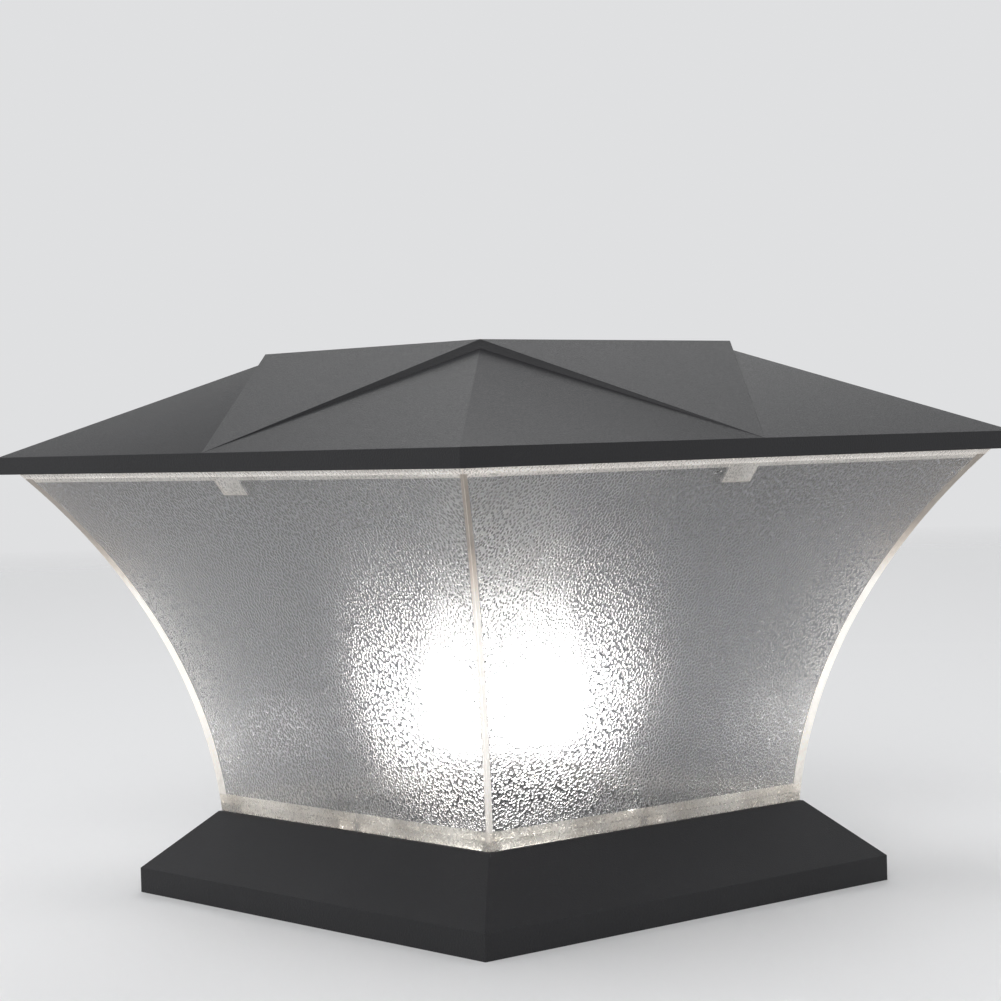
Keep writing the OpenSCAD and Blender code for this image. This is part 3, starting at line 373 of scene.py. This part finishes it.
def batterySleeve():
    # blue shrink film with a plain grey ring, and the metal button
    material, tree, shader = startMaterial("cellSleeve", color=(0.05, 0.2, 0.38), rough=0.28,
                                           coat=0.4, coatRough=0.1)
    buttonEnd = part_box("battery_cell")[1].x
    along = axesOf(tree)[0]
    pucker = noiseOf(tree, 260, 3, 0.5, (0.3, 1, 1))
    drift = rangeOf(tree, noiseOf(tree, 50, 4), 0.35, 0.65)
    tone = mixOf(tree, drift, (0.035, 0.15, 0.3), (0.06, 0.22, 0.42))
    ring = mathOf(tree, "GREATER_THAN", along, buttonEnd - batteryFinish["ringStart"])
    tone = mixOf(tree, ring, tone, batteryFinish["ring"])
    cap = mathOf(tree, "GREATER_THAN", along, buttonEnd - batteryFinish["capStart"])
    tone = mixOf(tree, cap, tone, batteryFinish["cap"])
    feed(tree, shader, "Base Color", tone)
    feed(tree, shader, "Metallic", cap)
    feed(tree, shader, "Roughness", rangeOf(tree, pucker, 0.3, 0.7, 0.22, 0.38))
    bumpOf(tree, shader, pucker, 0.05 * mm)
    return material


def coilMaterial():
    # ferrite drum with enamelled turns between its rims, the turns with painted shade in the grooves between
    # them
    material, tree, shader = startMaterial("coilCopper", color=(0.3, 0.12, 0.05), rough=0.3)
    low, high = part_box("boost_coil")
    rim = (high.z - low.z) * 0.22
    wire = 0.2 * mm  # half the pitch of the turns
    rise = axesOf(tree)[2]
    inside = mathOf(tree, "MULTIPLY", mathOf(tree, "GREATER_THAN", rise, low.z + rim),
                    mathOf(tree, "LESS_THAN", rise, high.z - rim))
    turns = mathOf(tree, "PINGPONG", rise, wire)
    # painted shade: the copper is darker in the grooves between turns, full colour on their crowns
    copperWithPaintedShade = mixOf(tree, rangeOf(tree, turns, 0, wire), (0.14, 0.045, 0.015), (0.6, 0.24, 0.08))
    feed(tree, shader, "Base Color", mixOf(tree, inside, (0.035, 0.033, 0.032), copperWithPaintedShade))
    feed(tree, shader, "Roughness", rangeOf(tree, inside, 0, 1, 0.6, 0.28))
    bumpOf(tree, shader, mathOf(tree, "MULTIPLY", turns, inside), 1.0)
    return material


glow = {
    "warmth": (1.0, 0.985, 0.955),
    "lamp": 60.0,
    "spot": 580.0,  # on the tube, in front of a lamp
    "spotHalf": (3.2 * mm, 2.7 * mm),  # across, up
    "pitch": 8.4 * mm,  # from lamp to lamp, up
    "tube": 15.0,  # round the middle of the tube
    "spread": 13 * mm,
    "ends": 0.2,
}


def lightMaterials():
    # the light is on: hot spots on the frosted tube in front of each lamp, dimmer towards its ends
    low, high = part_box("lamps_east")
    middle = (low.z + high.z) / 2
    tube, tree, shader = startMaterial("diffuserFrosted", color=(0.7, 0.7, 0.69), rough=0.45, ior=1.5,
                                       through=0.5, glowColor=glow["warmth"])
    axes = axesOf(tree)
    side = mathOf(tree, "MINIMUM", mathOf(tree, "ABSOLUTE", axes[0]), mathOf(tree, "ABSOLUTE", axes[1]))
    rise = mathOf(tree, "ABSOLUTE", mathOf(tree, "SUBTRACT", axes[2], middle))
    nearest = mathOf(tree, "MINIMUM", mathOf(tree, "ROUND", mathOf(tree, "DIVIDE", rise, glow["pitch"])), 1.0)
    row = mathOf(tree, "SUBTRACT", rise, mathOf(tree, "MULTIPLY", nearest, glow["pitch"]))

    def squareOf(value, reach):
        return mathOf(tree, "POWER", mathOf(tree, "DIVIDE", value, reach), 2.0)

    def bellOf(value):
        return mathOf(tree, "EXPONENT", mathOf(tree, "MULTIPLY", value, -1.0))

    away = mathOf(tree, "ADD", squareOf(side, glow["spotHalf"][0]), squareOf(row, glow["spotHalf"][1]))
    spots = bellOf(mathOf(tree, "POWER", away, 2.0))
    body = bellOf(squareOf(rise, glow["spread"]))
    body = mathOf(tree, "ADD", mathOf(tree, "MULTIPLY", body, glow["tube"]), glow["ends"])
    strength = mathOf(tree, "ADD", mathOf(tree, "MULTIPLY", spots, glow["spot"]), body)
    feed(tree, shader, "Emission Strength", strength)
    speck = noiseOf(tree, 1800, 2)
    feed(tree, shader, "Roughness", rangeOf(tree, speck, 0.3, 0.7, 0.38, 0.55))
    bumpOf(tree, shader, speck, 0.03 * mm)

    lamp, tree, shader = startMaterial("lampPhosphor", color=(0.9, 0.8, 0.4), rough=0.2,
                                       glowColor=glow["warmth"], glow=glow["lamp"])
    grain = noiseOf(tree, 3000, 3)
    feed(tree, shader, "Base Color", mixOf(tree, grain, (0.85, 0.68, 0.22), (0.95, 0.88, 0.6)))
    bumpOf(tree, shader, grain, 0.02 * mm)
    return tube, lamp


pebbledClear, smoothClear, hazyPaintedGlow, padPaintedGlow, cornerPaintedGlow = lensMaterials()
cellBlue, panelBack, coverClear = panelMaterials()
cellSleeve = batterySleeve()
coilCopper = coilMaterial()
diffuserFrosted, lampPhosphor = lightMaterials()
columnWhite = mouldedPlastic("columnWhite", (0.8, 0.8, 0.77), 0.4, grain=0.5 * mm,
                             depth=0.015 * mm, wear=0.03)
print("materials: lens, panel and light")


# pieces
def addPiece(name, mesh, body, slot, *replaced):
    piece = bpy.data.objects.new(name, mesh)
    bpy.context.scene.collection.objects.link(piece)
    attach(piece, body)
    if replaced:
        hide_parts(*replaced)
    return piece


def settleModifiers(piece):
    # keeps what the modifiers made as the piece's own mesh
    bpy.context.view_layer.update()
    graph = bpy.context.evaluated_depsgraph_get()
    mesh = bpy.data.meshes.new_from_object(piece.evaluated_get(graph), preserve_all_data_layers=True,
                                           depsgraph=graph)
    piece.modifiers.clear()
    piece.data = mesh


def addBevel(piece, width, angle):
    bevel = piece.modifiers.new("edges", "BEVEL")
    bevel.width = width
    bevel.segments = 2
    bevel.limit_method = "ANGLE"
    bevel.angle_limit = math.radians(angle)
    bevel.harden_normals = True


softening = {
    "weld": 0.002 * mm,
    "flat": 0.6,  # degrees, faces that turn less than this become one
    "ringCorners": 13,  # a face with fewer may be a rim's ring, which rounding would close over its opening
    "edgeAngle": 30,
}


def softenedCopy(name, node, body, slot, material, edge, edgeAngle=softening["edgeAngle"]):
    # the node's own form with its edges rounded over, as a moulding has them
    mesh = nodes[node].data.copy()
    mesh.materials.clear()
    mesh.materials.append(material)
    shape = bmesh.new()
    shape.from_mesh(mesh)
    bmesh.ops.remove_doubles(shape, verts=shape.verts, dist=softening["weld"])
    bmesh.ops.dissolve_limit(shape, angle_limit=math.radians(softening["flat"]), verts=shape.verts,
                             edges=shape.edges)
    rings = [face for face in shape.faces if len(face.verts) < softening["ringCorners"]]
    bmesh.ops.connect_verts_concave(shape, faces=rings)
    for face in shape.faces:
        face.material_index = 0
        face.smooth = True
    shape.to_mesh(mesh)
    shape.free()
    mesh.set_sharp_from_angle(angle=math.radians(edgeAngle))
    piece = addPiece(name, mesh, body, slot, node)
    addBevel(piece, edge, edgeAngle)
    settleModifiers(piece)


lensShape = {
    "footHalf": 58.1 * mm,
    "curveRadius": 173.3 * mm,
    "wall": 2.4 * mm,
    "flange": (4 * mm, 2.4 * mm),  # width, thickness
    "tab": (7 * mm, 5.6 * mm),  # half width, reach past the flange
    "pad": (5.2 * mm, 5.2 * mm, 1.2 * mm),  # half width, height, thickness
    "footBand": 5 * mm,
    "topStrip": 1.4 * mm,
    "cornerStrip": 0.5 * mm,
    "pebble": 0.98 * mm,
    "pebbleSquat": 1.12,  # a pebble is this much wider than high
    "screwHole": 1.7 * mm,
    "screwInset": 5.2 * mm,
    "edge": 0.35 * mm,
    "edgeAngle": 50,
    "sharpAngle": 35,
    "seamGap": 0.12 * mm,
    "seamThick": 0.12 * mm,
    "rows": 56,
    "columns": 15,
    "hair": 0.01 * mm,  # slack where heights are compared
    "slack": 0.1 * mm,  # slack round a tab or pad
}
quarterTurns = [Quaternion((0, 0, 1), math.radians(90 * turn)) for turn in range(4)]


def lensPiece():
    s = lensShape
    low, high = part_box("lens")
    topHalf = high.x
    chord = Vector((topHalf - s["footHalf"], high.z - low.z))
    back = math.sqrt(s["curveRadius"] ** 2 - chord.length_squared / 4)
    arcX = (s["footHalf"] + topHalf) / 2 + back * chord.y / chord.length
    arcZ = (low.z + high.z) / 2 - back * chord.x / chord.length

    def halfAt(z, depth=0.0):
        return arcX - math.sqrt((s["curveRadius"] + depth) ** 2 - (z - arcZ) ** 2)

    flangeTop = low.z + s["flange"][1]
    bandTop = low.z + s["footBand"]
    stripLow = high.z - s["topStrip"]
    padLow = high.z - s["pad"][1]

    def heights(first, last, keep):
        even = [first + (last - first) * n / s["rows"] for n in range(s["rows"] + 1)]
        gap = 0.4 * (last - first) / s["rows"]
        return sorted([z for z in even if all(abs(z - k) > gap for k in keep)] + keep)

    outerHeights = heights(low.z, high.z, [low.z, bandTop, stripLow, high.z])
    innerHeights = heights(flangeTop, high.z, [flangeTop, bandTop, padLow, stripLow, high.z])
    outer = [(halfAt(z), z) for z in outerHeights]
    inner = [(halfAt(z, s["wall"]), z) for z in innerHeights]
    flangeHalf = halfAt(low.z, s["wall"]) - s["flange"][0]
    profile = outer + inner[::-1] + [(flangeHalf, flangeTop), (flangeHalf, low.z)]

    def columnsOf(half):
        near = [0, s["pad"][0], s["tab"][0]]
        last = half - s["cornerStrip"]
        far = [s["tab"][0] + (last - s["tab"][0]) * n / s["columns"] for n in range(1, s["columns"] + 1)]
        side = near + far + [half]
        return [-y for y in side[:0:-1]] + side[:-1]

    shape = bmesh.new()
    rings = []
    for half, z in profile:
        ring = []
        for turn in quarterTurns:
            ring += [shape.verts.new(turn @ Vector((half, y, z))) for y in columnsOf(half)]
        rings.append(ring)
    count = len(rings[0])
    faces = {}
    for r in range(len(rings)):
        here, above = rings[r], rings[(r + 1) % len(rings)]
        for c in range(count):
            n = (c + 1) % count
            faces[r, c] = shape.faces.new((here[c], here[n], above[n], above[c]))
    bmesh.ops.recalc_face_normals(shape, faces=shape.faces)

    def pushIn(picked, reach):
        outs = [turn @ Vector((1, 0, 0)) for turn in quarterTurns]
        farOut = flangeHalf / 2
        groups = [[f for f in picked if f.calc_center_median().dot(out) > farOut] for out in outs]
        for out, chosen in zip(outs, groups):
            made = bmesh.ops.extrude_face_region(shape, geom=chosen)
            bmesh.ops.delete(shape, geom=chosen, context="FACES_ONLY")
            moved = [v for v in made["geom"] if isinstance(v, bmesh.types.BMVert)]
            bmesh.ops.translate(shape, verts=moved, vec=-out * reach)

    def acrossSide(face):
        middle = face.calc_center_median()
        return min(abs(middle.x), abs(middle.y))

    flangeFaces = [faces[len(profile) - 2, c] for c in range(count)]
    tabFaces = [f for f in flangeFaces if acrossSide(f) < s["tab"][0]]
    innerStart = len(outer)
    padFaces = []
    for r in range(innerStart, innerStart + len(inner) - 1):
        if profile[r + 1][1] >= padLow - s["hair"]:
            padFaces += [faces[r, c] for c in range(count) if acrossSide(faces[r, c]) < s["pad"][0]]
    pushIn(tabFaces, s["tab"][1])
    pushIn(padFaces, s["pad"][2])
    bmesh.ops.recalc_face_normals(shape, faces=shape.faces)

    layout = shape.loops.layers.uv.new("pebbles")
    for face in shape.faces:
        face.smooth = True
        middle = face.calc_center_median()
        reach = max(abs(middle.x), abs(middle.y))
        onInner = reach < halfAt(middle.z) - 0.6 * s["wall"]
        onPad = reach < halfAt(middle.z, s["wall"]) - 2 * s["hair"]
        inPad = onPad and acrossSide(face) < s["pad"][0] + s["slack"] and middle.z > padLow
        inBand = middle.z < bandTop
        inStrip = middle.z > stripLow
        inTab = middle.z < flangeTop + s["hair"] and reach < flangeHalf - s["slack"]
        face.material_index = 3 if inPad or inTab or inStrip else 2 if inBand else 0 if onInner else 1
        sideways = abs(middle.x) > abs(middle.y)
        for loop in face.loops:
            spot = loop.vert.co
            across = spot.y if sideways else spot.x
            loop[layout].uv = (across / s["pebble"], spot.z * s["pebbleSquat"] / s["pebble"])
    mesh = bpy.data.meshes.new("lensMesh")
    shape.to_mesh(mesh)
    shape.free()
    for material in (pebbledClear, smoothClear, hazyPaintedGlow, padPaintedGlow):
        mesh.materials.append(material)
    mesh.set_sharp_from_angle(angle=math.radians(s["sharpAngle"]))
    piece = addPiece("pebbledLens", mesh, "base", "lens_clear", "lens")

    holes = bmesh.new()
    screwHalf = halfAt(low.z, s["wall"]) - s["screwInset"]
    for turn in quarterTurns:
        spot = turn @ Vector((screwHalf, 0, low.z))
        made = bmesh.ops.create_cone(holes, cap_ends=True, segments=32, radius1=s["screwHole"],
                                     radius2=s["screwHole"], depth=4 * s["flange"][1])
        bmesh.ops.translate(holes, verts=made["verts"], vec=spot)
    holeMesh = bpy.data.meshes.new("screwHoles")
    holes.to_mesh(holeMesh)
    holes.free()
    cutter = bpy.data.objects.new("screwHoles", holeMesh)
    bpy.context.scene.collection.objects.link(cutter)
    drill = piece.modifiers.new("holes", "BOOLEAN")
    drill.operation = "DIFFERENCE"
    drill.solver = "EXACT"
    drill.object = cutter
    drill.material_mode = "INDEX"
    addBevel(piece, s["edge"], s["edgeAngle"])
    settleModifiers(piece)
    bpy.data.objects.remove(cutter)

    # painted glow: a thin glowing sheet inside each corner, where the four walls meet
    seams = bmesh.new()
    for turn in quarterTurns:
        pairs = []
        for n in range(s["rows"] + 1):
            z = flangeTop + (high.z - s["seamGap"] - flangeTop) * n / s["rows"]
            out, into = halfAt(z) - s["seamGap"], halfAt(z, s["wall"]) + s["seamGap"]
            pairs.append([seams.verts.new(turn @ Vector((at, at, z))) for at in (into, out)])
        for below, above in zip(pairs, pairs[1:]):
            seams.faces.new((below[0], below[1], above[1], above[0]))
    seamMesh = bpy.data.meshes.new("seamMesh")
    seams.to_mesh(seamMesh)
    seams.free()
    seamMesh.materials.append(cornerPaintedGlow)
    seamPiece = addPiece("cornerSeamsPaintedGlow", seamMesh, "base", "lens_clear")
    thicken = seamPiece.modifiers.new("thicken", "SOLIDIFY")
    thicken.thickness = s["seamThick"]
    thicken.offset = 0
    settleModifiers(seamPiece)
    return piece


lens = lensPiece()
print("piece: lens,", len(lens.data.polygons), "faces")

mouldings = {
    "postBase": {"node": "base_shell", "body": "base", "slot": "housing_black", "material": housingBlack,
                 "edge": 0.5 * mm},
    "hippedRoof": {"node": "roof_shell", "body": "roof", "slot": "housing_black", "material": housingBlack,
                   "edge": 0.45 * mm, "edgeAngle": 8},  # its shallow ridges are rounded too
    "roofTray": {"node": "roof_tray", "body": "roof", "slot": "tray_black", "material": trayBlack,
                 "edge": 0.3 * mm},
    "batteryDoor": {"node": "battery_door", "body": "door", "slot": "tray_black", "material": trayBlack,
                    "edge": 0.4 * mm},
    "batteryHolder": {"node": "battery_holder", "body": "roof", "slot": "tray_black", "material": trayBlack,
                      "edge": 0.3 * mm},
    "lightColumn": {"node": "light_column", "body": "roof", "slot": "column_white", "material": columnWhite,
                    "edge": 0.3 * mm},
    "switchKnob": {"node": "switch_knob", "body": "knob", "slot": "knob_white", "material": knobWhite,
                   "edge": 0.25 * mm},
    "wireBlock": {"node": "wire_block", "body": "roof", "slot": "block_ivory", "material": blockIvory,
                  "edge": 0.3 * mm},
}
for name, moulding in mouldings.items():
    softenedCopy(name, **moulding)
print("pieces: mouldings with rounded edges")

keptNodes = {
    "foot_seal": foamBlack, "top_seal": foamBlack, "door_seal": foamBlack,
    "lens_screws": screwSteel, "tray_screws": screwSteel, "door_screws": screwSteel,
    "board_screws": screwSteel, "column_screws": screwSteel,
    "panel_backing": panelBack, "panel_cells": cellBlue,
    "panel_ribbons": tinnedRibbon, "panel_cover": coverClear,
    "battery_cell": cellSleeve, "battery_spring": nickelSteel, "spring_plate": nickelSteel,
    "button_plate": nickelSteel,
    "control_board": boardGreen, "driver_chip": chipBlack, "storage_capacitor": capacitorSleeve,
    "boost_coil": coilCopper, "switch_body": switchGrey, "diffuser_tube": diffuserFrosted,
    "panel_wires": wireRed, "battery_wires": wireRed, "lamp_wires": wireBlack,
}
for side in ("east", "north", "west", "south"):
    keptNodes["lamp_board_" + side] = lampBoardWhite
    keptNodes["lamps_" + side] = lampPhosphor

for name, material in keptNodes.items():
    for slot in nodes[name].material_slots:
        slot.material = material
print("nodes with finishes:", len(keptNodes))


# studio
studio = {
    "pale": (0.74, 0.745, 0.755),
    "speck": (0.68, 0.68, 0.69),
    "fill": 0.5,
    "aim": (0, 0, 0.08),
    "lamps": {
        "keyLight": {"power": 56, "size": (2.1, 1.6), "place": (1.76, -2.0, 1.44)},
        "topLight": {"power": 12, "size": (1.4, 1.4), "place": (-0.2, -0.3, 2.0)},
        "backLight": {"power": 7, "size": (1.6, 0.9), "place": (-1.3, 1.2, 1.5)},
    },
    "floorRadius": 6,
    "floorFade": (0.8, 2.6),  # distances between which the floor gives way to the backdrop
}


def addLight(name, power, size, place):
    data = bpy.data.lights.new(name, "AREA")
    data.energy = power
    data.shape = "RECTANGLE"
    data.size, data.size_y = size
    light = bpy.data.objects.new(name, data)
    bpy.context.scene.collection.objects.link(light)
    light.location = place
    light.rotation_euler = (Vector(studio["aim"]) - Vector(place)).to_track_quat("-Z", "Y").to_euler()


for name, lamp in studio["lamps"].items():
    addLight(name, **lamp)

world = bpy.data.worlds.new("studio")
bpy.context.scene.world = world
world.use_nodes = True
tree = world.node_tree
tree.nodes.clear()
rays = addNode(tree, "LightPath").outputs
seen = mathOf(tree, "MAXIMUM", rays["Is Camera Ray"],
              mathOf(tree, "MAXIMUM", rays["Is Glossy Ray"], rays["Is Transmission Ray"]))
shown = addNode(tree, "Background", {"Color": (*studio["pale"], 1), "Strength": 1.0}).outputs[0]
lit = addNode(tree, "Background", {"Color": (1, 1, 1, 1), "Strength": studio["fill"]}).outputs[0]
both = addNode(tree, "MixShader", {0: seen, 1: lit, 2: shown}).outputs[0]
addNode(tree, "OutputWorld", {"Surface": both})

floorMesh = bpy.data.meshes.new("floor")
disc = bmesh.new()
bmesh.ops.create_circle(disc, cap_ends=True, segments=96, radius=studio["floorRadius"])
disc.to_mesh(floorMesh)
disc.free()
floor = bpy.data.objects.new("floor", floorMesh)
bpy.context.scene.collection.objects.link(floor)
floorMaterial, tree, shader = startMaterial("floorPale", color=studio["pale"], rough=0.7, specular=0.15)
speck = mathOf(tree, "MULTIPLY", noiseOf(tree, 300, 4), 0.12)
feed(tree, shader, "Base Color", mixOf(tree, speck, studio["pale"], studio["speck"]))
far = addNode(tree, "VectorMath", {0: coordsOf(tree)}, operation="LENGTH").outputs["Value"]
fade = rangeOf(tree, far, *studio["floorFade"])
clear = addNode(tree, "BsdfTransparent").outputs[0]
join = addNode(tree, "MixShader", {0: fade, 1: shader.outputs[0], 2: clear}).outputs[0]
tree.links.new(join, tree.nodes["Material Output"].inputs["Surface"])
floorMesh.materials.append(floorMaterial)
print("studio: floor, world and lights")
